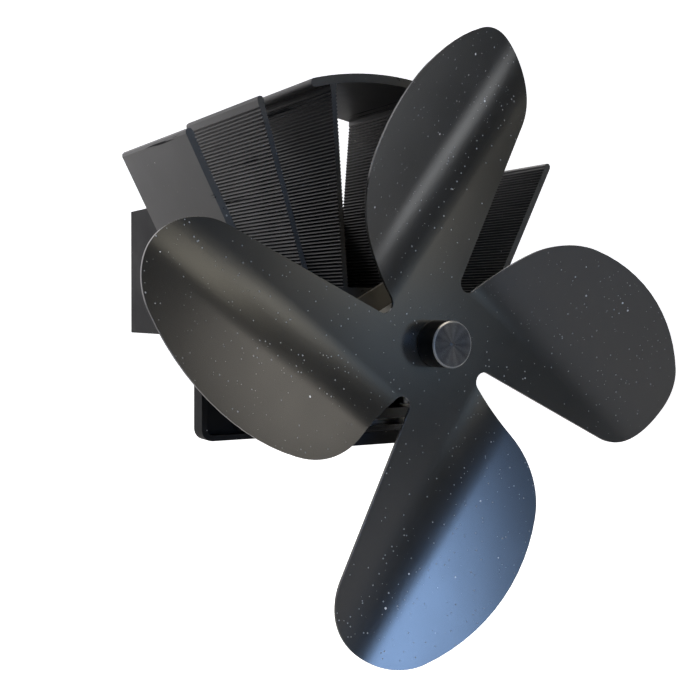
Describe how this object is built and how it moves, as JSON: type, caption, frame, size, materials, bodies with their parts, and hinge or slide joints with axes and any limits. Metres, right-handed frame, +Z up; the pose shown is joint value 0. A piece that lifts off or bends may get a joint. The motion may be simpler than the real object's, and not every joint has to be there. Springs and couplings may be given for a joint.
{
  "type": "stove fan",
  "caption": "Heat-powered stove fan: a bent-sheet fan wheel on a small motor in a finned heat sink, over a thermoelectric module and a magnetic V saddle for a flue pipe.",
  "frame": {"origin": "middle of the valley line of the saddle's V, at half the saddle's height, where it faces the pipe", "axes": "+Y from the fan towards the pipe, along the shaft; +Z up; +X to the right as seen from the fan's side"},
  "size_m": [0.1766, 0.1427, 0.1767],
  "materials": {
    "black_paint": "semi-gloss black powder coat on sheet",
    "black_anodised": "black anodised, finely turned",
    "sink_black": "black anodised extrusion, satin",
    "bracket_brown": "dark brown-black lacquer",
    "cast_black": "matt black paint on machined aluminium",
    "bright_steel": "ground bright steel",
    "dark_steel": "blackened steel",
    "zinc_steel": "zinc plated steel",
    "bronze": "sintered bronze",
    "copper": "bare and enamelled copper",
    "magnet_grey": "sintered ferrite, matt",
    "nickel": "nickel plate, bright",
    "white_ceramic": "unglazed alumina",
    "pad_grey": "soft graphite pad",
    "bismuth_grey": "semiconductor pellets, matt",
    "nylon": "natural heat-resistant plastic",
    "red_wire": "silicone insulation",
    "black_wire": "silicone insulation"
  },
  "bodies": {
    "base": {"motor_can": "zinc_steel", "front_bush": "bronze", "rear_bush": "bronze", "field_magnet_left": "magnet_grey", "field_magnet_right": "magnet_grey", "end_cap": "nylon", "brush_upper": "copper", "brush_lower": "copper", "terminal_left": "bright_steel", "terminal_right": "bright_steel", "motor_bracket": "bracket_brown", "bracket_screw_left": "zinc_steel", "bracket_screw_right": "zinc_steel", "heat_sink": "sink_black", "cold_pad": "pad_grey", "cold_ceramic": "white_ceramic", "thermo_couples": "bismuth_grey", "hot_ceramic": "white_ceramic", "hot_pad": "pad_grey", "red_lead": "red_wire", "black_lead": "black_wire", "hot_plate": "cast_black", "saddle": "cast_black", "lower_frame": "sink_black", "frame_spacer_left": "nylon", "clamp_screw_front_left": "zinc_steel", "clamp_bush_front_left": "nylon", "clamp_screw_rear_left": "zinc_steel", "clamp_bush_rear_left": "nylon", "magnet_lower_left": "nickel", "saddle_screw_lower_left": "zinc_steel", "magnet_upper_left": "nickel", "saddle_screw_upper_left": "zinc_steel", "frame_spacer_right": "nylon", "clamp_screw_front_right": "zinc_steel", "clamp_bush_front_right": "nylon", "clamp_screw_rear_right": "zinc_steel", "clamp_bush_rear_right": "nylon", "magnet_lower_right": "nickel", "saddle_screw_lower_right": "zinc_steel", "magnet_upper_right": "nickel", "saddle_screw_upper_right": "zinc_steel"},
    "fan": {"fan_wheel": "black_paint", "hub_knob": "black_anodised", "hub_collar": "black_anodised", "hub_grub_screw": "dark_steel", "motor_shaft": "bright_steel", "armature": "zinc_steel", "commutator": "copper", "winding_1": "copper", "winding_2": "copper", "winding_3": "copper"}
  },
  "joints": [
    {"name": "fan_spin", "type": "hinge", "parent": "base", "child": "fan", "pos_m": [0, -0.111, -0.02265], "axis": [0, 1, 0], "continuous": true}
  ]
}
